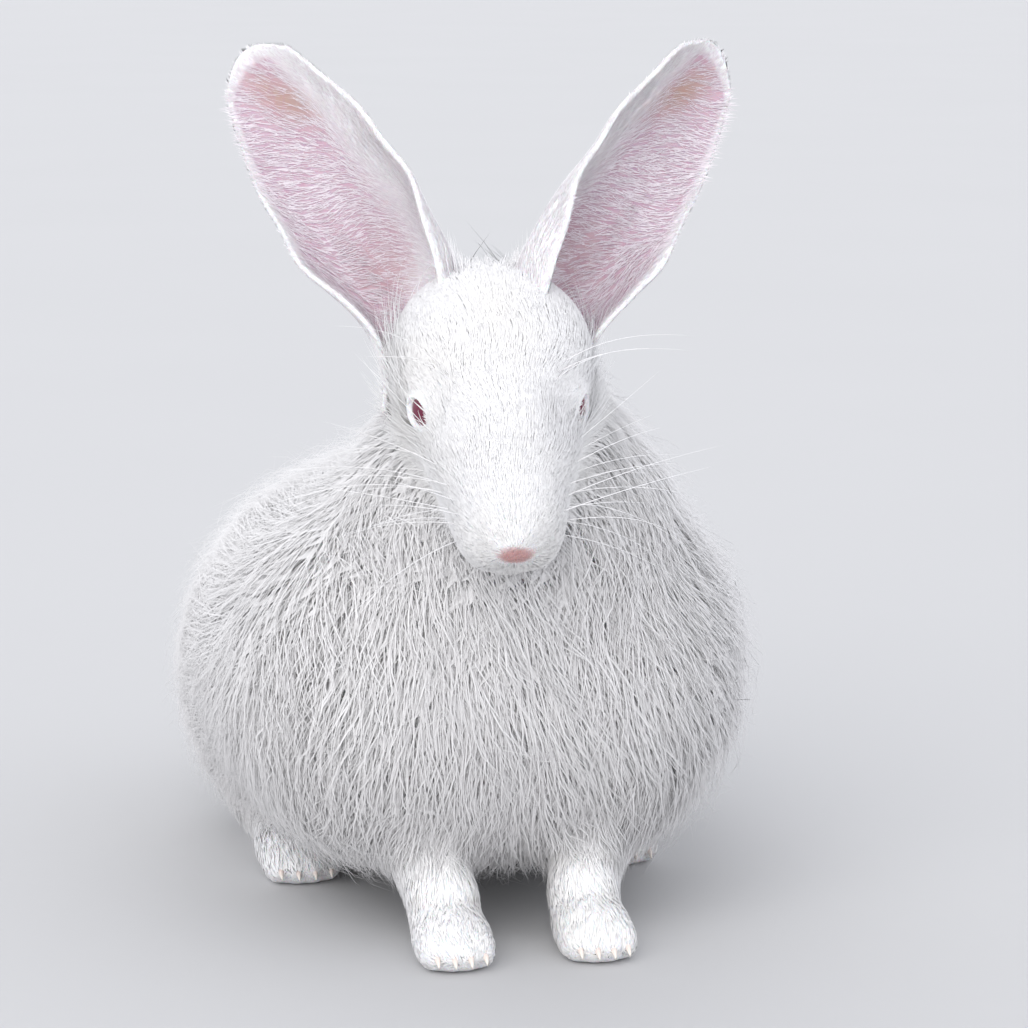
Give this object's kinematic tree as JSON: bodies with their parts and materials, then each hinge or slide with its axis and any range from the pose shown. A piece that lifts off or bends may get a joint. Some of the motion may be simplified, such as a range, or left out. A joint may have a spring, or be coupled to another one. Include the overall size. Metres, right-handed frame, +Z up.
{
  "type": "angora rabbit model",
  "caption": "Life-size still model of a white angora rabbit, sitting on all fours with head up, tall spread ears, dark red eyes and a woolly coat in overlapping locks.",
  "frame": {"origin": "on the floor, under the middle of the rabbit's bounding box", "axes": "+Z up, the rabbit looks towards -Y with its own left side towards +X"},
  "size_m": [0.2116, 0.3424, 0.3151],
  "materials": {
    "short_coat": "soft matt, short white fur",
    "wool": "soft matt, long white wool",
    "ear_skin": "satin, thinly furred pink skin",
    "eye": "polished, dark red"
  },
  "bodies": {
    "root": {"head": "short_coat", "ear_left": "ear_skin", "ear_right": "ear_skin", "eye_left": "eye", "eye_right": "eye", "neck": "wool", "torso": "wool", "foreleg_left": "short_coat", "foreleg_right": "short_coat", "hindleg_left": "short_coat", "hindleg_right": "short_coat"}
  },
  "joints": []
}
